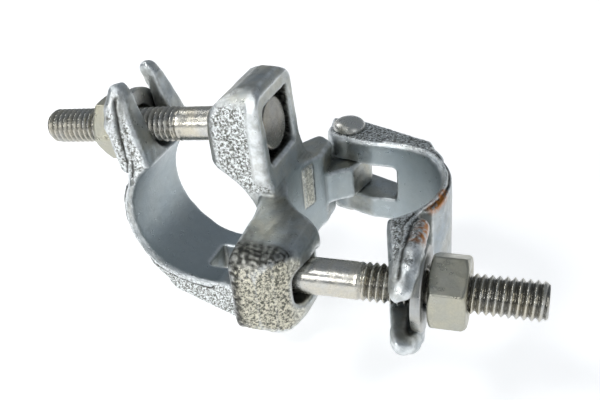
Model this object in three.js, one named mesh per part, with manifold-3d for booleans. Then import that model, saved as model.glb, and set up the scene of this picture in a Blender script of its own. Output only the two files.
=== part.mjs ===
// Right-angle double scaffold coupler for two 48.3 mm tubes, in millimetres, +Z up.
// It is modelled about the point midway between the two crossing tube axes: tube A runs along Y
// at x = -AXIS_OFFSET, tube B along Z at x = +AXIS_OFFSET. Half B is half A turned half a turn
// about (0, 1, -1). Last, the whole is shifted so that the origin is the centre of its box.
import * as THREE from 'three';
import { mergeVertices } from 'three/addons/utils/BufferGeometryUtils.js';
import Module from 'manifold-3d';

const wasm = await Module();
wasm.setup();

// Tube seats
const AXIS_OFFSET = 27.5;        // tube axis to origin, along X
const BORE_R = 24.4;             // seat radius: a 48.3 mm tube with running clearance
const SEAT_HALF = 17;            // half width of the flap's band along its tube

// Hinge of each flap
const PIN_X = -11.5;
const PIN_Z = -34.5;
const PIN_R = 4;
const PIN_HOLE_R = 4.3;
const KNUCKLE_R = 7.6;
const KNUCKLE_HALF = 6.1;        // half thickness of the body's knuckle
const EAR_R = 8;
const EAR_INNER = 6.4;           // ears start here, one each side of the knuckle
const EAR_OUTER = 15.5;
const WINDOW_X = -31.5;          // the window between the ears runs from here to the hinge

// Lip of the seat beside the ears
const LIP_X = -8;

// Hood that traps the bolt head
const HOOD_HALF = 15;
const HOOD_TOP = 46.8;
const HOOD_FRONT = -21.5;
const HOOD_CORNER = 8;           // the hood's front corners are rounded, seen from above
const HOLLOW_HALF = 10;
const HOLLOW_FLOOR = 23.2;
const HOLLOW_ROOF = 43.4;
const HOLLOW_FRONT = -11.4;
const SLOT_HALF = 6.9;           // slot for the bolt shank
const SLOT_FLOOR = 23.6;
const SLOT_ROOF = 41;

// T-bolt, measured along its own axis from the point above the origin
const BOLT_Z = 34;
const TILT_A = 7 * Math.PI / 180;   // each bolt droops towards its tube as it leaves the hood
const TILT_B = 4.8 * Math.PI / 180;
const HEAD_START = 3;
const HEAD_END = 10;
const HEAD_R = 9.2;
const SHANK_R = 5.8;
const THREAD_R = 6.15;
const THREAD_START = 36.6;
const BOLT_END = 90.5;

// Washer and nut
const WASHER_T = 3.1;
const WASHER_R = 13;
const WASHER_HOLE_R = 6.9;
const NUT_T = 11.1;
const NUT_FLATS = 20.8;          // across the flats
const NUT_HOLE_R = 6.45;
const WASHER_START_A = 51.5;
const WASHER_START_B = 52.8;
const NUT_START_A = 54.9;
const NUT_START_B = 57.2;

// Fork at the free end of the flap
const SEAT_FACE = 51.2;          // distance of the washer seat along the bolt axis
const SEAT_TILT = 6 * Math.PI / 180;
const FORK_SLOT_HALF = 7;
const FORK_SLOT_FLOOR = 28.4;    // centre height of the slot's round floor

const BOX_SHIFT = 2.55;          // moves the centre of the whole coupler's box to the origin

const toOtherHalf = new THREE.Matrix4().makeRotationAxis(
  new THREE.Vector3(0, 1, -1).normalize(), Math.PI);

// ---- geometry helpers ----

// A closed three.js geometry as a solid for cutting and joining
function solid(geometry, matrix) {
  let g = geometry.clone();
  g.deleteAttribute('normal');
  g.deleteAttribute('uv');
  if (matrix) g.applyMatrix4(matrix);
  g = mergeVertices(g, 1e-4);
  const vertProperties = new Float32Array(g.attributes.position.array);
  const triVerts = new Uint32Array(g.index.array);
  return new wasm.Manifold(new wasm.Mesh({ numProp: 3, vertProperties, triVerts }));
}

// A solid back to a three.js geometry
function geometryOf(manifold) {
  const mesh = manifold.getMesh();
  const g = new THREE.BufferGeometry();
  g.setAttribute('position', new THREE.BufferAttribute(new Float32Array(mesh.vertProperties), 3));
  g.setIndex(new THREE.BufferAttribute(new Uint32Array(mesh.triVerts), 1));
  g.computeVertexNormals();
  return g;
}

// An outline in the XZ plane, made into a plate from y = -half to y = +half
function plateXZ(shape, half, segments = 24) {
  const g = new THREE.ExtrudeGeometry(shape, {
    depth: 2 * half, bevelEnabled: false, curveSegments: segments,
  });
  g.translate(0, 0, -half);
  g.rotateX(Math.PI / 2);
  return g;
}

// An outline in the YZ plane, made into a bar from x = x0 to x = x1
function plateYZ(shape, x0, x1, segments = 16) {
  const g = new THREE.ExtrudeGeometry(shape, {
    depth: x1 - x0, bevelEnabled: false, curveSegments: segments,
  });
  g.rotateX(Math.PI / 2);
  g.rotateZ(Math.PI / 2);
  g.translate(x0, 0, 0);
  return g;
}

// A cylinder along Y
function rodY(r, y0, y1, x, z, segments = 32) {
  const g = new THREE.CylinderGeometry(r, r, y1 - y0, segments);
  g.translate(x, (y0 + y1) / 2, z);
  return g;
}

function box(x0, x1, y0, y1, z0, z1) {
  const g = new THREE.BoxGeometry(x1 - x0, y1 - y0, z1 - z0);
  g.translate((x0 + x1) / 2, (y0 + y1) / 2, (z0 + z1) / 2);
  return g;
}

// A profile of [radius, distance] points turned about the X axis
function turnedX(points, segments = 32) {
  const g = new THREE.LatheGeometry(points.map(([r, s]) => new THREE.Vector2(r, s)), segments);
  g.rotateZ(-Math.PI / 2);
  return g;
}

function outline(points) {
  const s = new THREE.Shape();
  s.moveTo(points[0][0], points[0][1]);
  for (const [u, v] of points.slice(1)) s.lineTo(u, v);
  return s;
}

const boreCut = rodY(BORE_R, -70, 70, -AXIS_OFFSET, 0, 72);

// ---- body: one forging, two saddles back to back ----

// The body seen from above: straight cheeks and a front with rounded corners
function hoodPlan() {
  const front = HOOD_FRONT + HOOD_CORNER;
  const side = HOOD_HALF - HOOD_CORNER;
  const s = new THREE.Shape();
  s.moveTo(20, -HOOD_HALF);
  s.lineTo(20, HOOD_HALF);
  s.absarc(front, side, HOOD_CORNER, Math.PI / 2, Math.PI, false);
  s.absarc(front, -side, HOOD_CORNER, Math.PI, 1.5 * Math.PI, false);
  const g = new THREE.ExtrudeGeometry(s, { depth: 120, bevelEnabled: false, curveSegments: 8 });
  g.translate(0, 0, -60);
  return g;
}

function bodyHalf() {
  const trunk = outline([
    [HOOD_FRONT, 18], [HOOD_FRONT, 34], [-19.6, 39], [-16.6, 42.6], [-13, 44.7], [-8.5, 46.3],
    [-5.5, HOOD_TOP], [-3.6, HOOD_TOP], [-2.6, 45.6], [-2, HOLLOW_FLOOR], [3, 14], [6, 8], [6, -8], [4.5, -20],
    [-1, -29], [LIP_X, -29], [LIP_X, -14], [-AXIS_OFFSET, 0],
  ]);
  const knuckle = new THREE.Shape();
  knuckle.moveTo(-15, -16);
  knuckle.lineTo(PIN_X - KNUCKLE_R, PIN_Z);
  knuckle.absarc(PIN_X, PIN_Z, KNUCKLE_R, Math.PI, 2 * Math.PI - 0.3, false);
  knuckle.lineTo(0, -27);
  knuckle.lineTo(2, -16);
  const earRoom = rodY(EAR_R + 2, -40, 40, PIN_X, PIN_Z);
  const wide = solid(plateXZ(trunk, HOOD_HALF)).intersect(solid(hoodPlan()));
  return wide.subtract(solid(earRoom)).add(solid(plateXZ(knuckle, KNUCKLE_HALF)));
}

function bodyCuts(matrix) {
  const hollow = box(HOLLOW_FRONT, 30, -HOLLOW_HALF, HOLLOW_HALF, HOLLOW_FLOOR, HOLLOW_ROOF);
  const slot = box(-40, HOLLOW_FRONT + 1, -SLOT_HALF, SLOT_HALF, SLOT_FLOOR, SLOT_ROOF);
  const pinHole = rodY(PIN_HOLE_R, -20, 20, PIN_X, PIN_Z);
  return [boreCut, hollow, slot, pinHole].map((g) => solid(g, matrix));
}

let body = bodyHalf().add(solid(geometryOf(bodyHalf()), toOtherHalf));
for (const cut of [...bodyCuts(), ...bodyCuts(toOtherHalf)]) body = body.subtract(cut);

// ---- flap: hinged jaw with two ears, a half band and a fork ----

// Point at distance s along the seat's own axis and height h across it, in the XZ plane
function onSeat(s, h) {
  const c = Math.cos(SEAT_TILT);
  const n = Math.sin(SEAT_TILT);
  return [-c * s - n * h, BOLT_Z - n * s + c * h];
}

function flapOutline() {
  const at = (deg, r) => [
    -AXIS_OFFSET + r * Math.cos(deg * Math.PI / 180), r * Math.sin(deg * Math.PI / 180)];
  const rad = (deg) => deg * Math.PI / 180;
  const s = new THREE.Shape();
  s.moveTo(...at(124, BORE_R));
  s.absarc(-AXIS_OFFSET, 0, BORE_R, rad(124), rad(280), false);
  s.absarc(PIN_X, PIN_Z, EAR_R, rad(100), rad(-115), true);
  s.lineTo(...at(245, 35));
  s.lineTo(...at(222, 29.5));
  s.absarc(-AXIS_OFFSET, 0, 28.4, rad(218), rad(155), true);
  s.lineTo(...onSeat(SEAT_FACE, -15));
  s.lineTo(...onSeat(SEAT_FACE, 15.5));
  s.lineTo(...onSeat(SEAT_FACE - 0.5, 17.6));
  s.lineTo(...onSeat(SEAT_FACE - 1.9, 19));
  s.lineTo(...onSeat(SEAT_FACE - 3.3, 19.2));
  s.lineTo(...onSeat(SEAT_FACE - 4.5, 18));
  s.lineTo(...onSeat(SEAT_FACE - 4.8, 15));
  return s;
}

// Width of the flap at each height: ears, band, then fingers drawn in to round tips
function flapWidth() {
  const right = [[EAR_OUTER, -46], [EAR_OUTER, -27], [SEAT_HALF, -20], [SEAT_HALF, 22],
    [16, 30], [14.5, 38], [12.5, 43.5], [10.5, 46.5], [8.5, 47.6]];
  const left = right.map(([y, z]) => [-y, z]).reverse();
  return outline([...right, ...left]);
}

function makeFlap() {
  let flap = solid(plateXZ(flapOutline(), SEAT_HALF + 1, 28));
  flap = flap.intersect(solid(plateYZ(flapWidth(), -70, 10)));
  const slot = new THREE.Shape();
  slot.absarc(0, FORK_SLOT_FLOOR, FORK_SLOT_HALF, Math.PI, 2 * Math.PI, false);
  slot.lineTo(FORK_SLOT_HALF, 60);
  slot.lineTo(-FORK_SLOT_HALF, 60);
  flap = flap.subtract(solid(plateYZ(slot, -70, 10)));
  flap = flap.subtract(solid(box(WINDOW_X, 10, -EAR_INNER, EAR_INNER, -60, -12)));
  return flap.subtract(solid(rodY(PIN_HOLE_R, -20, 20, PIN_X, PIN_Z)));
}

const flapGeometry = geometryOf(makeFlap());

// ---- rivet, bolt, washer and nut ----

// Domed head at -Y, peened end at +Y
function rivetGeometry() {
  const base = EAR_OUTER + 0.3;
  const profile = [[0, -base - 3.4], [2.6, -base - 3.1], [4.6, -base - 2.1], [5.8, -base - 0.6],
    [5.8, -base], [PIN_R, -base], [PIN_R, base], [5.2, base], [5, base + 1], [3.4, base + 1.9],
    [0, base + 2.2]];
  const g = new THREE.LatheGeometry(profile.map(([r, y]) => new THREE.Vector2(r, y)), 32);
  g.translate(PIN_X, 0, PIN_Z);
  return g;
}

function boltGeometry() {
  return turnedX([[0, HEAD_START], [HEAD_R - 1.6, HEAD_START], [HEAD_R, HEAD_START + 1.6],
    [HEAD_R, HEAD_END - 1], [HEAD_R - 1, HEAD_END], [SHANK_R, HEAD_END],
    [SHANK_R, THREAD_START - 0.4], [THREAD_R, THREAD_START], [THREAD_R, BOLT_END - 1.6],
    [THREAD_R - 1.4, BOLT_END], [0, BOLT_END]], 36);
}

function washerGeometry(start) {
  const end = start + WASHER_T;
  return turnedX([[WASHER_HOLE_R, start], [WASHER_R - 0.6, start], [WASHER_R, start + 0.6],
    [WASHER_R, end - 0.6], [WASHER_R - 0.6, end], [WASHER_HOLE_R, end],
    [WASHER_HOLE_R, start]], 40);
}

// Hexagon with both faces chamfered by a cone, and a plain round hole
function nutGeometry(start) {
  const corner = NUT_FLATS / Math.sqrt(3);
  const hex = new THREE.CylinderGeometry(corner, corner, NUT_T, 6);
  hex.rotateY(Math.PI / 6);
  hex.rotateZ(-Math.PI / 2);
  hex.translate(start + NUT_T / 2, 0, 0);
  const flat = NUT_FLATS / 2;
  const cone = turnedX([[0, start], [flat - 0.4, start], [corner + 0.2, start + 1.6],
    [corner + 0.2, start + NUT_T - 1.6], [flat - 0.4, start + NUT_T], [0, start + NUT_T]], 48);
  const hole = turnedX([[0, start - 5], [NUT_HOLE_R, start - 5], [NUT_HOLE_R, start + NUT_T + 5],
    [0, start + NUT_T + 5]], 36);
  return geometryOf(solid(hex).intersect(solid(cone)).subtract(solid(hole)));
}

// ---- scene graph ----

const zinc = (colour, roughness) => new THREE.MeshStandardMaterial({
  color: colour, roughness, metalness: 0.9,
});
const looks = {
  body: zinc(0x8b8f8c, 0.5), flap: zinc(0x7f8b93, 0.4), rivet: zinc(0xa7adb0, 0.3),
  bolt: zinc(0xa9aaa2, 0.3), washer: zinc(0x8c9396, 0.35), nut: zinc(0xa3a594, 0.4),
};

function piece(name, geometry, look) {
  const mesh = new THREE.Mesh(geometry, look);
  mesh.name = name;
  return mesh;
}

function half(letter, tilt, washerStart, nutStart) {
  const group = new THREE.Group();
  group.add(piece(`flap_${letter}`, flapGeometry, looks.flap));
  group.add(piece(`rivet_${letter}`, rivetGeometry(), looks.rivet));
  const line = new THREE.Group();
  line.position.set(0, 0, BOLT_Z);
  line.rotation.y = Math.PI - tilt;
  line.add(piece(`t_bolt_${letter}`, boltGeometry(), looks.bolt));
  line.add(piece(`washer_${letter}`, washerGeometry(washerStart), looks.washer));
  line.add(piece(`nut_${letter}`, nutGeometry(nutStart), looks.nut));
  group.add(line);
  return group;
}

const coupler = new THREE.Group();
coupler.add(piece('body', geometryOf(body), looks.body));
coupler.add(half('a', TILT_A, WASHER_START_A, NUT_START_A));
const halfB = half('b', TILT_B, WASHER_START_B, NUT_START_B);
halfB.applyMatrix4(toOtherHalf);
coupler.add(halfB);
coupler.position.set(0, BOX_SHIFT, -BOX_SHIFT);

export default coupler;
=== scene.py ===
"""Right-angle scaffold coupler: forged body and flaps, bolts, nuts, washers and rivets.

Lengths are in millimetres in the design frame, midway between the two tube axes, and each
finished mesh is moved into the row frame and scaled to metres. Tube A runs along Y at
x = -AXIS_OFFSET. Half B is half A turned half a turn about (0, 1, -1), which takes (x, y, z)
to (-x, -z, -y). The forgings and nuts are signed distance fields, joined with rounded seams
and meshed on a grid. The other pieces are turned profiles.
"""
import math

import bmesh
import bpy
import numpy as np
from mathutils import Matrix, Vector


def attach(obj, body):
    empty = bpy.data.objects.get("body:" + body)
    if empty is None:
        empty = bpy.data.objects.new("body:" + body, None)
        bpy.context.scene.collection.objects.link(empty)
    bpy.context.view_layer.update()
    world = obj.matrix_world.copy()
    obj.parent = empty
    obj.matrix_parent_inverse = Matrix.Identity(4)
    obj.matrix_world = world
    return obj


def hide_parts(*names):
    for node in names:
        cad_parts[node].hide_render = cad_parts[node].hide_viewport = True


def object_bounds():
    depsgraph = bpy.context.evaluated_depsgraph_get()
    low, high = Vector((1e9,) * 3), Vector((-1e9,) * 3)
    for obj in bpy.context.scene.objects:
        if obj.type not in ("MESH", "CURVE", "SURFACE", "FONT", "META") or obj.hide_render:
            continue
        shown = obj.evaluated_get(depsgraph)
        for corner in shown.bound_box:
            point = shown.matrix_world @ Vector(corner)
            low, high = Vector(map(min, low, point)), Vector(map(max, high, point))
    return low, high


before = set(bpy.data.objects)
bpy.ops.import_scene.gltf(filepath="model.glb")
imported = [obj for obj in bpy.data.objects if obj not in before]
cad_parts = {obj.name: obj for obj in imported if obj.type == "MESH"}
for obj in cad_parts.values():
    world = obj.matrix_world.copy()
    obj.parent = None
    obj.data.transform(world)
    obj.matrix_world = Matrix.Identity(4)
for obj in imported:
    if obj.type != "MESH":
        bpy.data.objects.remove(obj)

import openvdb
from mathutils import Matrix, Vector

CAD_LOW, CAD_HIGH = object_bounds()
MM = 0.001
BOX_SHIFT = 2.55                 # design frame to row frame, along +Y and -Z

# Tube seats
AXIS_OFFSET = 27.5               # tube axis to origin, along X
TUBE_AXIS = (-AXIS_OFFSET, 0)    # tube A's axis in the XZ plane
BORE_R = 24.4

# Hinge
PIN = (-11.5, -34.5)             # its axis in the XZ plane
RIVET_R, RIVET_HEAD_R = 4.0, 5.8
KNUCKLE_R, KNUCKLE_HALF = 7.6, 6.1
EAR_R = 8.0
EAR_INNER, EAR_OUTER = 6.4, 15.5
EAR_ROOM = 1.6                   # gap in the body round the ears
WINDOW_X = -31.5                 # the opening between the ears starts here
STOP_NOSE = (-2.3, -42.3)        # corner of the ear that stops the flap when it is wide open

# Flap
SEAT_HALF = 17.0
FLAP_WIDTH = [(EAR_OUTER, -46), (EAR_OUTER, -27), (SEAT_HALF, -20), (SEAT_HALF, 22),
              (16.3, 30), (15.1, 37), (13.4, 42.5), (11.4, 46), (8.6, 49)]   # half width, height
FORK_START = 23.0                # height where the band turns into the fork
FORK_SLOT_HALF = 7.0
FORK_SLOT_FLOOR = 28.4           # height of the centre of the slot's round end
FORK_LIP_R = 2.9
FLASH_R = 26.5                   # the parting line's radius on the band
FLASH_SEAT = 49.2                # and its distance along the bolt on the fork

# Hood that traps the bolt head
HOOD_HALF = 15.0
HOOD_TOP = 50.2
HOOD_FRONT = -21.5
HOOD_CORNER = 8.0                # rounding of the front, seen from above
HOOD_ARCH = 10.0                 # rounding of the roof's two long edges
HOLLOW_FRONT, HOLLOW_HALF = -11.4, 10.0
HOLLOW_FLOOR, HOLLOW_ROOF = 23.2, 43.0
SHANK_SLOT_HALF = 6.9
SHANK_SLOT_FLOOR, SHANK_SLOT_ROOF = 23.6, 41.0

# Bolt line: distances run along the bolt from the point above the origin
BOLT_Z = 34.0
TILT = {"a": math.radians(7.0), "b": math.radians(4.8)}
SEAT_TILT = math.radians(6.0)    # the washer seat's own tilt
SEAT_FACE = 51.2
HEAD_START, HEAD_END, HEAD_R = 1.6, 10.0, 9.2
HEAD_EDGE = 1.6                  # rounding of the head's outer edge
SHANK_R, THREAD_R, THREAD_START, BOLT_END = 5.8, 6.15, 35.2, 90.5
PITCH = 2.117                    # half-inch Whitworth, 12 threads to the inch
THREAD_DEPTH = 1.3
WASHER_R, WASHER_HOLE_R, WASHER_T = 13.0, 6.9, 3.1
WASHER_EDGE = 0.6
WASHER_START = {"a": 51.5, "b": 52.8}
NUT_FLATS, NUT_T, NUT_HOLE_R = 20.8, 11.1, 6.3
NUT_START = {"a": 54.9, "b": 57.2}

# Meshing
FORGING_STEP = 0.55
NUT_STEP = 0.3
BODY_LOW, BODY_HIGH = (-25, -50, -50), (25, 50, 50)
FLAP_LOW, FLAP_HIGH = (-62, -19, -45), (-1, 19, 52)
FAR = 5.0                        # longer distances are clipped to this
SHARP_DEG = 50                   # sharper edges of turned pieces stay crisp

# Colours that lie over the zinc's own two tints
BLOTCH_GREY = (0.25, 0.255, 0.23)
BORE_GREY = (0.36, 0.415, 0.44)
# Pale grain, partly a painted highlight where it faces the front light
PALE_GRAIN_AND_HIGHLIGHT = (0.90, 0.93, 0.93)
GRAIN_OLIVE = (0.72, 0.69, 0.57)
GRAIN_PIT = (0.12, 0.12, 0.10)
WORN_AND_HIGHLIT_EDGE = (0.78, 0.81, 0.82)
# Bright ridges: worn zinc and painted highlight
SPECKLE = (0.2, 0.2, 0.18)
# Dark colour for painted shade and for dark marks such as the parting-line crack
SHADE_AND_DIRT = (0.05, 0.05, 0.045)
RUST = (0.42, 0.16, 0.03)
RUST_START = (0.0543, -0.0008, 0.014)     # metres in the row frame, at rest
RUST_END = (0.0531, -0.0268, 0.014)

# Stage and camera
FLOOR_GAP = 0.014                # metres, room under the part for flap A to open
FLOOR_REACH = 6.0
CAMERA_AZIMUTH, CAMERA_ELEVATION, CAMERA_ROLL = 24.19, 32.23, -5.69     # degrees
CAMERA_AIM = (3.2, 3.2, 2.6)
CAMERA_DISTANCE = 285.4
CAMERA_LENS = 49.76


# ---- signed distances, negative inside ----

def smooth_min(a, b, k):
    """Union of two fields, with the seam rounded over the distance k."""
    h = np.clip(0.5 + 0.5 * (b - a) / k, 0.0, 1.0)
    return b + (a - b) * h - k * h * (1.0 - h)


def smooth_max(a, b, k):
    """Intersection of two fields, with the edge rounded over the distance k."""
    return -smooth_min(-a, -b, k)


def polygon(u, v, points):
    """Distance to a closed outline."""
    d2 = np.full(np.broadcast(u, v).shape, 1e9)
    inside = np.zeros(d2.shape, bool)
    for (ax, ay), (bx, by) in zip(points, points[1:] + points[:1]):
        ex, ey = bx - ax, by - ay
        if math.hypot(ex, ey) < 1e-6:
            continue
        wu, wv = u - ax, v - ay
        t = np.clip((wu * ex + wv * ey) / (ex * ex + ey * ey), 0.0, 1.0)
        d2 = np.minimum(d2, (wu - ex * t) ** 2 + (wv - ey * t) ** 2)
        if ay != by:
            inside ^= ((ay > v) != (by > v)) & (u < ex * (v - ay) / ey + ax)
    return np.where(inside, -1.0, 1.0) * np.sqrt(d2)


def plate(outline_distance, across, half, r):
    """An outline's plate of half thickness half, its edges rounded to radius r."""
    a = outline_distance + r
    b = np.abs(across) - half + r
    outside = np.sqrt(np.maximum(a, 0.0) ** 2 + np.maximum(b, 0.0) ** 2)
    return outside + np.minimum(np.maximum(a, b), 0.0) - r


def rounded_corner(past_one, past_other, r):
    """Distance past the corner of two faces, rounded to radius r."""
    return np.hypot(np.maximum(past_one + r, 0.0), np.maximum(past_other + r, 0.0)) - r


def rounded_box(x, y, z, low, high, r):
    q = [np.abs(c - (lo + hi) / 2) - (hi - lo) / 2 + r for c, lo, hi in zip((x, y, z), low, high)]
    outside = np.sqrt(sum(np.maximum(c, 0.0) ** 2 for c in q))
    return outside + np.minimum(np.maximum(np.maximum(q[0], q[1]), q[2]), 0.0) - r


def rod(u, v, centre, r):
    """An endless round bar, square to the plane of u and v."""
    return np.hypot(u - centre[0], v - centre[1]) - r


def capsule(x, y, z, a, b, r):
    """A round bar from a to b."""
    d = [q - p for p, q in zip(a, b)]
    length2 = sum(c * c for c in d)
    w = (x - a[0], y - a[1], z - a[2])
    t = np.clip(sum(wc * dc for wc, dc in zip(w, d)) / length2, 0.0, 1.0)
    return np.sqrt(sum((wc - dc * t) ** 2 for wc, dc in zip(w, d))) - r


def polar(centre, r, degrees):
    """The point at radius r and an angle from the centre."""
    t = math.radians(degrees)
    return centre[0] + r * math.cos(t), centre[1] + r * math.sin(t)


def arc(centre, r, start, end, steps):
    """Points on an arc, angles in degrees."""
    return [polar(centre, r, degrees) for degrees in np.linspace(start, end, steps)]


def grid(low, high, step):
    """Coordinates along X, Y and Z that spread out to the whole grid when they are combined."""
    axes = [np.arange(lo, hi + step, step) for lo, hi in zip(low, high)]
    return axes[0][:, None, None], axes[1][None, :, None], axes[2][None, None, :]


def surface(field, low, step):
    """Vertices and faces of the field's zero surface, in the field's own coordinates."""
    vdb = openvdb.FloatGrid()
    vdb.background = FAR
    vdb.copyFromArray(np.ascontiguousarray(np.clip(field, -FAR, FAR), dtype=np.float32))
    points, _, quads = vdb.convertToPolygons(0.0)
    return points.astype(float) * step + np.array(low), quads


# ---- meshes ----

def add_piece(name, points, faces, body, cad_node, material, masks=None, sharp_deg=None):
    """One visible piece from millimetre points in the design frame.

    Each mask holds a value per vertex, which the material reads by the mask's name.
    """
    shifted = (points + np.array([0.0, BOX_SHIFT, -BOX_SHIFT])) * MM
    mesh = bpy.data.meshes.new(name)
    mesh.from_pydata(shifted.tolist(), [], [list(map(int, f)) for f in faces])
    for mask, values in (masks or {}).items():
        layer = mesh.attributes.new(mask, "FLOAT", "POINT")
        layer.data.foreach_set("value", np.asarray(values, np.float32))
    mesh.validate()
    bm = bmesh.new()
    bm.from_mesh(mesh)
    bmesh.ops.recalc_face_normals(bm, faces=bm.faces)
    for face in bm.faces:
        face.smooth = True
    if sharp_deg:
        for edge in bm.edges:
            if edge.is_manifold and edge.calc_face_angle(0.0) > math.radians(sharp_deg):
                edge.smooth = False
    bm.to_mesh(mesh)
    bm.free()
    mesh.materials.append(material)
    piece = bpy.data.objects.new(name, mesh)
    bpy.context.collection.objects.link(piece)
    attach(piece, body)
    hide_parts(cad_node)


def other_half(points):
    """Points or directions of half A turned into half B, or back."""
    return np.stack([-points[:, 0], -points[:, 2], -points[:, 1]], axis=1)


def from_tube(points):
    """Distance of each point from tube A's axis."""
    return np.hypot(points[:, 0] - TUBE_AXIS[0], points[:, 2] - TUBE_AXIS[1])


def wavy_noise(points, wavelength, seed, waves=28):
    """Smooth noise of about -1 to 1 at each point, from summed waves."""
    rng = np.random.default_rng(seed)
    total = np.zeros(len(points))
    for _ in range(waves):
        direction = rng.normal(size=3)
        direction *= 2 * math.pi / (wavelength * rng.uniform(0.6, 1.6)) / np.linalg.norm(direction)
        total += np.sin(points @ direction + rng.uniform(0, 2 * math.pi))
    return total / math.sqrt(waves)


def vertex_normals(points, faces):
    a, b, c, d = (points[faces[:, i]] for i in range(4))
    normal = np.cross(c - a, d - b)
    total = np.zeros_like(points)
    for i in range(4):
        np.add.at(total, faces[:, i], normal)
    return total / np.maximum(np.linalg.norm(total, axis=1), 1e-9)[:, None]


def convexity(points, faces, normals):
    """How sharply the surface turns at each vertex: positive on ridges, negative in grooves."""
    total = np.zeros(len(points))
    for i in range(4):
        a, b = faces[:, i], faces[:, (i + 1) % 4]
        step = points[b] - points[a]
        bend = ((normals[b] - normals[a]) * step).sum(axis=1)
        bend = bend / np.maximum((step * step).sum(axis=1), 0.02)
        np.add.at(total, a, bend)
        np.add.at(total, b, bend)
    return total / 8


def ramp(value, low, high):
    """0 up to low, 1 from high on, and a straight line between."""
    return np.clip((value - low) / (high - low), 0.0, 1.0)


# ---- body ----

def body_half(x, y, z):
    """One hood, saddle and knuckle, tube A's."""
    hood = [(HOOD_FRONT, 18), (HOOD_FRONT, 33), (-20.2, 38), (-17.6, 42.6), (-14.2, 46.2),
            (-9.6, 49), (-5.5, HOOD_TOP), (-2.6, HOOD_TOP), (-0.8, 47.6), (0.9, HOLLOW_FLOOR)]
    saddle = [(3, 14), (6, 8), (6, -8), (4.5, -20), (-1, -29), (-8, -29), (-8, -14), TUBE_AXIS]
    trunk = plate(polygon(x, z, hood + saddle), y, HOOD_HALF, 2.3)
    past_side = np.abs(y) - HOOD_HALF
    trunk = smooth_max(trunk, rounded_corner(HOOD_FRONT - x, past_side, HOOD_CORNER), 1.5)
    trunk = smooth_max(trunk, rounded_corner(z - HOOD_TOP, past_side, HOOD_ARCH), 1.0)
    trunk = smooth_max(trunk, -rod(x, z, PIN, EAR_R + EAR_ROOM), 1.5)
    knuckle = polygon(x, z, [(-15, -16), (PIN[0] - KNUCKLE_R, PIN[1])]
                      + arc(PIN, KNUCKLE_R, 180, 343, 12) + [(0, -27), (2, -16)])
    return smooth_min(trunk, plate(knuckle, y, KNUCKLE_HALF, 0.9), 2.0)


def head_room(x, y, z):
    """The hollow for the bolt head, open towards +X, and the slot in front for the shank."""
    hollow = rounded_box(x, y, z, (HOLLOW_FRONT, -HOLLOW_HALF, HOLLOW_FLOOR),
                         (30, HOLLOW_HALF, HOLLOW_ROOF), 2.2)
    slot = rounded_box(x, y, z, (-60, -SHANK_SLOT_HALF, SHANK_SLOT_FLOOR),
                       (-8, SHANK_SLOT_HALF, SHANK_SLOT_ROOF), 4.5)
    return smooth_min(hollow, slot, 1.0)


def raised_pad(x, y, z):
    """A thin blank rectangle standing up from the seat."""
    angle = np.arctan2(z, x + AXIS_OFFSET) + math.radians(20.0)
    along = np.abs(angle * BORE_R) - 2.6
    across = np.abs(y + 5.3) - 7.6
    height = np.abs(rod(x, z, TUBE_AXIS, BORE_R)) - 0.45
    return smooth_max(smooth_max(along, across, 0.8), height, 0.4)


def body_shape(x, y, z):
    """Both halves with room for the tubes, the bolt heads and the shanks, and the pad in B."""
    field = smooth_min(body_half(x, y, z), body_half(-x, -z, -y), 3.0)
    for spot in ((x, y, z), (-x, -z, -y)):
        field = smooth_max(field, -rod(spot[0], spot[2], TUBE_AXIS, BORE_R), 1.2)
        field = smooth_max(field, -head_room(*spot), 1.4)
    return np.minimum(field, raised_pad(-x, -z, -y))


def hollow_shade(points):
    """1 on the rough walls inside the hood, painted black as shade; 0 on its front slot, its rim
    and elsewhere.
    """
    x, y, z = points.T
    wall = 1 - ramp(np.abs(head_room(x, y, z)), 0.4, 0.9)
    return wall * ramp(x, HOLLOW_FRONT - 1.2, HOLLOW_FRONT) * ramp(-x, 0.5, 1.5)


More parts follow.
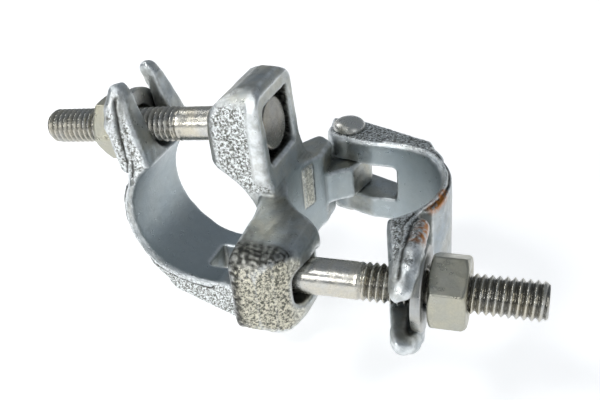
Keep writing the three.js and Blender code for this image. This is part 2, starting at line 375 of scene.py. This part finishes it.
def make_body():
    field = body_shape(*grid(BODY_LOW, BODY_HIGH, FORGING_STEP))
    points, faces = surface(field, BODY_LOW, FORGING_STEP)
    normals = vertex_normals(points, faces)
    in_b, normals_b = other_half(points), other_half(normals)
    x_b, y_b, z_b = in_b.T
    from_bore = np.minimum(np.abs(from_tube(points) - BORE_R), np.abs(from_tube(in_b) - BORE_R))

    # Hood A's cheek towards -Y is grainy and painted pale only on the side facing the front light,
    # a painted highlight over real grain; the smooth bright lip along its back edge is painted
    # bright as worn zinc and painted highlight
    facing = -normals[:, 1]
    lip = ramp(facing, 0.3, 0.8) * ramp(points[:, 2], 17, 21) * ramp(points[:, 0], -5, -4)
    cheek = ramp(facing, 0.75, 0.95) * ramp(points[:, 2], 12, 17) * (1 - lip)

    # Hood B's roof has an olive patch, and a black band and strip along two of its edges
    patch = ramp(normals_b[:, 2] - 0.3 * normals_b[:, 0], 0.55, 0.85) * ramp(z_b, 33, 37)
    band = (ramp(z_b, 38, 41) * ramp(-y_b, 11.2, 12.6)
            * ramp(normals_b[:, 2] - normals_b[:, 1], 0.3, 0.9))
    strip = ramp(z_b, 30, 36) * ramp(x_b, -5.2, -4.2) * ramp(normals_b[:, 2], -0.2, 0.3)
    pad = 1 - ramp(raised_pad(x_b, y_b, z_b), 0.1, 0.5)

    # The walls inside both hoods are painted black: painted shade.
    inside = np.maximum(hollow_shade(points), hollow_shade(in_b))
    dark = np.maximum(np.maximum(band, strip), inside)
    dark = np.clip(dark * (0.8 + 0.4 * wavy_noise(points, 1.4, 8)), 0, 1)
    rough = np.maximum(cheek, np.maximum(patch, 0.6 * pad))
    turn = convexity(points, faces, normals)
    # Grooves get the dark colour as painted shade. Ridges get the worn-edge colour, as worn zinc
    # with a painted highlight.
    masks = {"grain": rough, "bore": 1 - ramp(from_bore, 0.3, 0.9),
             "olive": np.maximum(patch, 0.7 * pad),
             "dark": np.maximum(dark, 0.7 * ramp(-turn, 0.06, 0.3)),
             "ridge": np.maximum(ramp(turn, 0.08, 0.32), lip) * (1 - 0.8 * inside)}
    bumps = (rough * 0.16 * wavy_noise(points, 1.6, 3)
             + ramp(from_bore, 0.4, 1.5) * 0.07 * wavy_noise(points, 5.0, 4))
    points = points + normals * bumps[:, None]
    add_piece("forged_body", points, faces, "body", "body", forged_steel, masks)


# ---- flap ----

def on_seat(s, h):
    """Point in the XZ plane, s along the washer seat's own axis and h above it."""
    c, n = math.cos(SEAT_TILT), math.sin(SEAT_TILT)
    return -c * s - n * h, BOLT_Z - n * s + c * h


def from_seat(x, z):
    """The reverse of on_seat: distance along the seat's axis, and height above it."""
    c, n = math.cos(SEAT_TILT), math.sin(SEAT_TILT)
    return -c * x - n * (z - BOLT_Z), -n * x + c * (z - BOLT_Z)


def flap_outline():
    fork = [(SEAT_FACE, -15), (SEAT_FACE, 15.5), (51, 17.3), (50.2, 18.6), (49.2, 18.7),
            (48, 17.4), (46.8, 14.5), (46.4, 10)]
    return (arc(TUBE_AXIS, BORE_R, 124, 280, 50) + arc(PIN, EAR_R, 100, -12, 20)
            + [STOP_NOSE] + arc(PIN, EAR_R, -82, -115, 6)
            + [polar(TUBE_AXIS, 35, 245), polar(TUBE_AXIS, 29.5, 222)]
            + arc(TUBE_AXIS, 28.4, 218, 155, 24) + [on_seat(s, h) for s, h in fork])


def flap_field(x, y, z):
    """Band, ears and fork, without the parting line."""
    width = FLAP_WIDTH + [(-y_out, z_out) for y_out, z_out in reversed(FLAP_WIDTH)]
    field = smooth_max(polygon(x, z, flap_outline()), polygon(y, z, width), 2.4)

    # A raised lip round the outside of each finger: along the seat, above it, and across
    lip = [(52.4, -9, 14.2), (52.6, 6, 14.9), (52.2, 11, 13.3), (51.2, 15.6, 10)]
    for sign in (-1, 1):
        spots = [(on_seat(s, h)[0], sign * across, on_seat(s, h)[1]) for s, h, across in lip]
        for start, end in zip(spots, spots[1:]):
            field = smooth_min(field, capsule(x, y, z, start, end, FORK_LIP_R), 1.6)

    round_end = np.hypot(y, z - FORK_SLOT_FLOOR)
    slot = np.where(z > FORK_SLOT_FLOOR, np.abs(y), round_end) - FORK_SLOT_HALF
    field = smooth_max(field, -slot, 1.6)
    window = rounded_box(x, y, z, (WINDOW_X, -EAR_INNER, -70), (20, EAR_INNER, -12), 1.5)
    field = smooth_max(field, -window, 1.0)
    along, above = from_seat(x, z)
    washer_pocket = np.maximum(np.hypot(above, y) - WASHER_R - 0.5, SEAT_FACE - along)
    field = smooth_max(field, -washer_pocket, 0.6)
    return smooth_max(field, -rod(x, z, TUBE_AXIS, BORE_R), 1.0)


def flash_line(x, y, z):
    """The thin parting line left along the flap's two sides."""
    route = arc(TUBE_AXIS, FLASH_R, 272, 150, 16)
    route += [on_seat(FLASH_SEAT, h) for h in (-6, 0, 6, 11, 14)]
    widths, heights = zip(*FLAP_WIDTH)
    line = np.inf
    for sign in (-1, 1):
        spots = [(u, sign * np.interp(v, heights, widths), v) for u, v in route]
        for a, b in zip(spots, spots[1:]):
            line = np.minimum(line, capsule(x, y, z, a, b, 0.5))
    return line


def make_flap(letter, field):
    points, faces = surface(field, FLAP_LOW, FORGING_STEP)
    x, y, z = points.T
    normals = vertex_normals(points, faces)
    radius = from_tube(points)
    bore = 1 - ramp(np.abs(radius - BORE_R), 0.3, 0.9)
    side = ramp(np.abs(normals[:, 1]), 0.7, 0.95) * ramp(np.abs(y), 10, 12)

    # A dark crack follows the outer side of the parting line, and is wider on the fork
    on_fork = z > FORK_START
    outer = np.where(on_fork, ramp(from_seat(x, z)[0], FLASH_SEAT, FLASH_SEAT + 0.3),
                     ramp(radius, FLASH_R, FLASH_R + 0.3))
    flash = flash_line(x, y, z)
    crack = outer * ramp(flash, 0.1, 0.3) * (1 - ramp(flash, 0.8, np.where(on_fork, 1.7, 1.1)))

    depth = (side * 0.1 * wavy_noise(points, 1.7, 5)
             + (1 - bore) * 0.07 * wavy_noise(points, 5.5, 6) - crack * 0.28)
    points = points + normals * depth[:, None]
    turn = convexity(points, faces, normals)
    # Grooves get the dark colour as painted shade; the crack is a dark line of its own.
    masks = {"grain": side, "bore": bore, "ridge": ramp(turn, 0.08, 0.32) * (1 - crack),
             "dark": np.maximum(crack, 0.6 * ramp(-turn, 0.06, 0.3))}
    if letter == "b":
        points = other_half(points)
    add_piece(f"forged_flap_{letter}", points, faces, f"flap_{letter}", f"flap_{letter}",
              forged_flap[letter], masks)


# ---- turned pieces and nuts ----

def turned(profile, segments):
    """Closed solid of revolution about +X from (distance, radius) points, poles at both ends."""
    angles = np.linspace(0, 2 * math.pi, segments, endpoint=False)
    points = [(profile[0][0], 0.0, 0.0)]
    for s, r in profile[1:-1]:
        points += [(s, r * math.cos(t), r * math.sin(t)) for t in angles]
    points.append((profile[-1][0], 0.0, 0.0))
    return np.array(points), turned_faces(len(profile) - 2, segments)


def turned_faces(rings, segments):
    """A fan at the first pole, quads from ring to ring, and a fan at the last pole."""
    faces = [(0, 1 + (j + 1) % segments, 1 + j) for j in range(segments)]
    for i in range(rings - 1):
        a, b = 1 + i * segments, 1 + (i + 1) * segments
        for j in range(segments):
            k = (j + 1) % segments
            faces.append((a + j, a + k, b + k, b + j))
    last, pole = 1 + (rings - 1) * segments, 1 + rings * segments
    faces += [(last + j, last + (j + 1) % segments, pole) for j in range(segments)]
    return faces


def along_bolt(points, letter):
    """From bolt coordinates (distance, across, up) to the design frame."""
    c, n = math.cos(TILT[letter]), math.sin(TILT[letter])
    s, y, h = points.T
    placed = np.stack([-c * s - n * h, y, BOLT_Z - n * s + c * h], axis=1)
    return placed if letter == "a" else other_half(placed)


def bolt_profile():
    """Round head, fillet and shank, then close rings for the thread to be cut in."""
    profile = [(HEAD_START, 0), (HEAD_START, 4), (HEAD_START, HEAD_R - HEAD_EDGE)]
    profile += [(HEAD_START + HEAD_EDGE * (1 - math.cos(t)), HEAD_R - HEAD_EDGE * (1 - math.sin(t)))
                for t in np.radians([20, 40, 60, 80, 90])]
    profile += [(HEAD_END - 1, HEAD_R), (HEAD_END - 0.3, HEAD_R - 0.3), (HEAD_END, HEAD_R - 1),
                (HEAD_END, SHANK_R + 1)]
    profile += [(HEAD_END + 1 - math.cos(t), SHANK_R + 1 - math.sin(t))
                for t in np.radians([20, 45, 70, 90])]
    profile += [(s, SHANK_R) for s in np.linspace(HEAD_END + 4, THREAD_START - 1, 8)]
    profile += [(s, THREAD_R) for s in np.arange(THREAD_START, BOLT_END - 0.05, PITCH / 12)]
    return profile + [(BOLT_END, THREAD_R - 1.6), (BOLT_END, 2.5), (BOLT_END, 0)]


def make_bolt(letter):
    points, faces = turned(bolt_profile(), 96)
    s, y, z = points.T
    turns = np.arctan2(z, y) / (2 * math.pi)
    phase = (s / PITCH - turns) % 1.0
    crest = np.clip(1.0 - 2.0 * np.abs(phase - 0.5), 0.08, 0.9)
    radius = np.hypot(y, z)
    on_thread = (s > THREAD_START - 0.01) & (s < BOLT_END - 0.06) & (radius > THREAD_R - 0.01)
    run_out = ramp(s, THREAD_START - 0.5, THREAD_START + 3.5)
    end_taper = 1.5 * ramp(s, BOLT_END - 2.0, BOLT_END + 0.3)
    cut = THREAD_DEPTH * run_out * (1 - crest) + (1 - run_out) * (THREAD_R - SHANK_R)
    wanted = THREAD_R - np.maximum(end_taper, cut)
    scale = np.where(on_thread, wanted / np.maximum(radius, 1e-6), 1.0)
    points = points * np.stack([np.ones_like(scale), scale, scale], axis=1)
    # The head, down in the hood's dark hollow, and the thread roots are darkened: painted shade.
    shaded_head = 0.62 * (s < HEAD_END + 0.5)
    masks = {"dark": np.where(on_thread, 0.7 * (1 - crest) * run_out, shaded_head)}
    add_piece(f"threaded_bolt_{letter}", along_bolt(points, letter), faces, f"t_bolt_{letter}",
              f"t_bolt_{letter}", bright_steel, masks, SHARP_DEG)


def make_washer(letter):
    """A rounded rectangle carried round the bolt."""
    half = WASHER_T / 2
    section = []
    for s_side, r_side, first in ((1, 1, 0), (-1, 1, 90), (-1, -1, 180), (1, -1, 270)):
        centre_s = WASHER_START[letter] + half + s_side * (half - WASHER_EDGE)
        centre_r = (WASHER_R - WASHER_EDGE) if r_side > 0 else (WASHER_HOLE_R + WASHER_EDGE)
        section += [polar((centre_s, centre_r), WASHER_EDGE, first + t) for t in (0, 30, 60, 90)]
    segments, count = 72, len(section)
    angles = np.linspace(0, 2 * math.pi, segments, endpoint=False)
    points = np.array([(s, r * math.cos(t), r * math.sin(t)) for t in angles for s, r in section])
    faces = [(i * count + j, i * count + (j + 1) % count,
              (i + 1) % segments * count + (j + 1) % count, (i + 1) % segments * count + j)
             for i in range(segments) for j in range(count)]
    add_piece(f"flat_washer_{letter}", along_bolt(points, letter), faces, f"washer_{letter}",
              f"washer_{letter}", washer_steel, sharp_deg=SHARP_DEG)


def make_nut(letter):
    """A hexagon with coned corners and a bevelled hole."""
    half, apothem = NUT_T / 2, NUT_FLATS / 2
    low, high = (-half - 1, -13, -13), (half + 1, 13, 13)
    s, y, z = grid(low, high, NUT_STEP)
    r = np.hypot(y, z)
    past_face = np.abs(s) - half
    field = past_face
    for degrees in (0, 60, 120):
        t = math.radians(degrees)
        field = smooth_max(field, np.abs(y * math.sin(t) + z * math.cos(t)) - apothem, 0.35)
    cone = (r - apothem + 0.2) * 0.5 + past_face * 0.866
    field = smooth_max(field, cone, 0.3)
    bevelled_hole = np.maximum(NUT_HOLE_R, NUT_HOLE_R + 0.8 + 1.2 * past_face)
    field = smooth_max(field, bevelled_hole - r, 0.3)
    points, faces = surface(field, low, NUT_STEP)
    points = points + np.array([NUT_START[letter] + half, 0, 0])
    add_piece(f"hex_nut_{letter}", along_bolt(points, letter), faces, f"nut_{letter}",
              f"nut_{letter}", nut_steel)


def make_rivet(letter):
    """Domed head at one end, peened over at the other."""
    base = EAR_OUTER + 0.3
    profile = [(-base - 3.4, 0)]
    profile += [(-base - 3.4 * math.cos(t) ** 0.8, RIVET_HEAD_R * math.sin(t))
                for t in np.radians([12, 24, 36, 48, 60, 72, 82])]
    profile += [(-base, RIVET_HEAD_R), (-base, RIVET_R), (base, RIVET_R), (base, 5.2),
                (base + 0.9, 5.1), (base + 1.6, 4.2), (base + 2.0, 2.8), (base + 2.2, 1.4),
                (base + 2.2, 0)]
    points, faces = turned(profile, 48)
    placed = np.stack([PIN[0] + points[:, 1], points[:, 0], PIN[1] + points[:, 2]], axis=1)
    if letter == "b":
        placed = other_half(placed)
    add_piece(f"hinge_rivet_{letter}", placed, faces, "body", f"rivet_{letter}",
              rivet_steel, sharp_deg=SHARP_DEG)


# ---- materials ----

def put(tree, value, socket):
    """Link a socket into the input, or set the input to a plain value."""
    if isinstance(value, bpy.types.NodeSocket):
        tree.links.new(value, socket)
    else:
        socket.default_value = value


def node(tree, kind, inputs=None, **settings):
    made = tree.nodes.new(kind)
    for key, value in settings.items():
        setattr(made, key, value)
    for key, value in (inputs or {}).items():
        put(tree, value, made.inputs[key])
    return made


def mix(tree, factor, below, over):
    """Colour going from the one below, or its socket, to the plain one over it."""
    made = node(tree, "ShaderNodeMix", {0: factor, 7: (*over, 1.0)}, data_type="RGBA")
    put(tree, below if isinstance(below, bpy.types.NodeSocket) else (*below, 1.0), made.inputs[6])
    return made.outputs[2]


def maths(tree, operation, *values):
    return node(tree, "ShaderNodeMath", dict(enumerate(values)), operation=operation).outputs[0]


def vector_maths(tree, operation, a, b, output):
    made = node(tree, "ShaderNodeVectorMath", {0: a, 1: b}, operation=operation)
    return made.outputs[output]


def noise(tree, scale, detail=4.0, rough=0.6):
    """Noise in the piece's own coordinates, so that it rides with the piece."""
    place = node(tree, "ShaderNodeTexCoord").outputs["Object"]
    made = node(tree, "ShaderNodeTexNoise", {"Vector": place, "Scale": scale, "Detail": detail,
                                             "Roughness": rough})
    return made.outputs["Fac"]


def stretch(tree, value, low, high, to_low=0.0, to_high=1.0):
    made = node(tree, "ShaderNodeMapRange", {"Value": value, "From Min": low, "From Max": high,
                                             "To Min": to_low, "To Max": to_high})
    return made.outputs["Result"]


def mask_of(tree, name):
    """A piece's mask, which is 0 on a piece that doesn't carry it."""
    return node(tree, "ShaderNodeAttribute", attribute_name=name).outputs["Fac"]


def forged_colour(tree, colour):
    """Blotches, smooth bores, pale grain with dark pits, and bright ridges of worn zinc with a
    painted highlight.
    """
    grain = mask_of(tree, "grain")
    blotch = stretch(tree, noise(tree, 300.0, 6.0, 0.7), 0.45, 0.65, 0.0, 0.5)
    colour = mix(tree, blotch, colour, BLOTCH_GREY)
    colour = mix(tree, maths(tree, "MULTIPLY", mask_of(tree, "bore"), 0.75), colour, BORE_GREY)
    colour = mix(tree, grain, colour, PALE_GRAIN_AND_HIGHLIGHT)
    colour = mix(tree, mask_of(tree, "olive"), colour, GRAIN_OLIVE)
    pits = stretch(tree, noise(tree, 1150.0, 5.0, 0.8), 0.45, 0.55)
    colour = mix(tree, maths(tree, "MULTIPLY", pits, grain), colour, GRAIN_PIT)
    patchy = stretch(tree, noise(tree, 350.0), 0.35, 0.6, 0.25, 0.9)
    # Ridges: worn zinc with a painted highlight.
    return mix(tree, maths(tree, "MULTIPLY", patchy, mask_of(tree, "ridge")), colour, WORN_AND_HIGHLIT_EDGE)


def zinc(name, cool, warm, polish, tint_scale=90.0, grain=0.25, forged=False):
    """Zinc plating that drifts between a cool and a warm tint, with fine grain."""
    material = bpy.data.materials.new(name)
    material.use_nodes = True
    tree = material.node_tree
    shader = tree.nodes["Principled BSDF"]
    colour = mix(tree, stretch(tree, noise(tree, tint_scale), 0.35, 0.65), cool, warm)
    rough = stretch(tree, noise(tree, 420.0), 0.3, 0.7, polish - 0.08, polish + 0.1)
    height = noise(tree, 1600.0, 5.0, 0.7)
    if forged:
        coarse = maths(tree, "MULTIPLY", noise(tree, 750.0, 5.0, 0.75), mask_of(tree, "grain"))
        height = maths(tree, "MULTIPLY_ADD", coarse, 5.0, height)
        colour = forged_colour(tree, colour)
    else:
        speckle = stretch(tree, noise(tree, 1400.0, 3.0, 0.7), 0.3, 0.7, 0.0, 0.25)
        colour = mix(tree, speckle, colour, SPECKLE)
    # Darken by the dark mask: painted shade in hollows, grooves and thread roots and on the bolt
    # heads, and dark marks such as the crack by the parting line.
    colour = mix(tree, mask_of(tree, "dark"), colour, SHADE_AND_DIRT)
    bump = node(tree, "ShaderNodeBump", {"Height": height, "Strength": grain,
                                         "Distance": 0.0004})
    put(tree, colour, shader.inputs["Base Color"])
    put(tree, rough, shader.inputs["Roughness"])
    put(tree, bump.outputs["Normal"], shader.inputs["Normal"])
    put(tree, 1.0, shader.inputs["Metallic"])
    return material


def add_rust(material):
    """A patchy rust streak on flap B, close to the line from RUST_START to RUST_END."""
    tree = material.node_tree
    base_colour = tree.nodes["Principled BSDF"].inputs["Base Color"]
    clean = base_colour.links[0].from_socket
    start, end = Vector(RUST_START), Vector(RUST_END)
    direction, reach = (end - start).normalized(), (end - start).length / 2
    place = node(tree, "ShaderNodeTexCoord").outputs["Object"]
    from_middle = vector_maths(tree, "SUBTRACT", place, (start + end) / 2, "Vector")
    along = vector_maths(tree, "DOT_PRODUCT", from_middle, direction, "Value")
    kept = node(tree, "ShaderNodeClamp", {"Value": along, "Min": -reach, "Max": reach})
    nearest = node(tree, "ShaderNodeVectorMath", {0: direction, "Scale": kept.outputs[0]},
                   operation="SCALE").outputs["Vector"]
    away = vector_maths(tree, "DISTANCE", from_middle, nearest, "Value")
    near = stretch(tree, away, 0.0008, 0.0032, 1.0, 0.0)
    patchy = stretch(tree, noise(tree, 500.0), 0.36, 0.56)
    put(tree, mix(tree, maths(tree, "MULTIPLY", near, patchy), clean, RUST), base_colour)


forged_steel = zinc("forged_zinc", (0.38, 0.42, 0.44), (0.49, 0.48, 0.41), 0.33, grain=0.4,
                    forged=True)
forged_flap = {letter: zinc(f"forged_zinc_flap_{letter}", (0.38, 0.43, 0.47), (0.48, 0.49, 0.46),
                            0.33, grain=0.4, forged=True) for letter in "ab"}
add_rust(forged_flap["b"])
bright_steel = zinc("bolt_zinc", (0.55, 0.55, 0.53), (0.62, 0.58, 0.48), 0.24, 140.0, 0.12)
washer_steel = zinc("washer_zinc", (0.42, 0.44, 0.45), (0.5, 0.49, 0.45), 0.32, 140.0)
nut_steel = zinc("nut_zinc", (0.42, 0.42, 0.37), (0.48, 0.46, 0.36), 0.32, 120.0)
rivet_steel = zinc("rivet_zinc", (0.58, 0.59, 0.58), (0.62, 0.6, 0.53), 0.28, 160.0)


# ---- pieces ----

make_body()
flap_grid = grid(FLAP_LOW, FLAP_HIGH, FORGING_STEP)
flap_shape = smooth_min(flap_field(*flap_grid), flash_line(*flap_grid), 0.5)
for half in "ab":
    make_flap(half, flap_shape)
    make_bolt(half)
    make_washer(half)
    make_nut(half)
    make_rivet(half)


# ---- stage, light and camera ----

def make_stage():
    """A pale floor that glows a little, so that it reads white round the part."""
    floor_mesh = bpy.data.meshes.new("floor")
    level = CAD_LOW[2] - FLOOR_GAP
    corners = [(FLOOR_REACH * x, FLOOR_REACH * y, level)
               for x, y in ((-1, -1), (1, -1), (1, 1), (-1, 1))]
    floor_mesh.from_pydata(corners, [], [(0, 1, 2, 3)])
    floor = bpy.data.objects.new("floor", floor_mesh)
    bpy.context.collection.objects.link(floor)
    material = bpy.data.materials.new("pale_floor")
    material.use_nodes = True
    shader = material.node_tree.nodes["Principled BSDF"]
    shader.inputs["Base Color"].default_value = (0.93, 0.93, 0.93, 1)
    shader.inputs["Roughness"].default_value = 0.9
    shader.inputs["Emission Color"].default_value = (1, 1, 1, 1)
    shader.inputs["Emission Strength"].default_value = 0.55
    floor_mesh.materials.append(material)


def area_light(name, place, size, power):
    """A rectangular light aimed at the origin; metres and watts."""
    light = bpy.data.lights.new(name, "AREA")
    light.shape = "RECTANGLE"
    light.size, light.size_y = size
    light.energy = power
    lamp = bpy.data.objects.new(name, light)
    lamp.location = place
    lamp.rotation_euler = (-Vector(place)).to_track_quat("-Z", "Y").to_euler()
    bpy.context.collection.objects.link(lamp)


def make_world():
    world = bpy.data.worlds.new("studio")
    bpy.context.scene.world = world
    world.use_nodes = True
    background = world.node_tree.nodes["Background"]
    background.inputs["Color"].default_value = (0.80, 0.87, 0.95, 1)
    background.inputs["Strength"].default_value = 0.33
    bpy.context.scene.view_settings.view_transform = "Standard"


def make_camera():
    """The photograph's view: azimuth, elevation and roll of a camera aimed near the middle."""
    azimuth, elevation = math.radians(CAMERA_AZIMUTH), math.radians(CAMERA_ELEVATION)
    roll = Matrix.Rotation(math.radians(CAMERA_ROLL), 4, "Z")
    aim = (Vector(CAMERA_AIM) + Vector((0, BOX_SHIFT, -BOX_SHIFT))) * MM
    back = Vector((math.sin(azimuth) * math.cos(elevation),
                   -math.cos(azimuth) * math.cos(elevation), math.sin(elevation)))
    data = bpy.data.cameras.new("photo_view")
    data.sensor_width = 36.0
    data.lens = CAMERA_LENS
    data.clip_start = 0.01
    camera = bpy.data.objects.new("photo_view", data)
    turn = back.to_track_quat("Z", "Y").to_matrix().to_4x4() @ roll
    camera.matrix_world = Matrix.Translation(aim + back * CAMERA_DISTANCE * MM) @ turn
    bpy.context.collection.objects.link(camera)
    bpy.context.scene.camera = camera


make_stage()
make_world()
area_light("key", (-0.38, -0.52, 0.77), (0.22, 0.22), 2.8)
area_light("front", (-0.32, -0.76, 0.36), (0.34, 0.16), 2.4)
area_light("fill", (0.75, -0.55, 0.3), (0.25, 0.5), 0.8)
area_light("rim", (-0.8, 0.25, 0.6), (0.3, 0.3), 1.6)
make_camera()
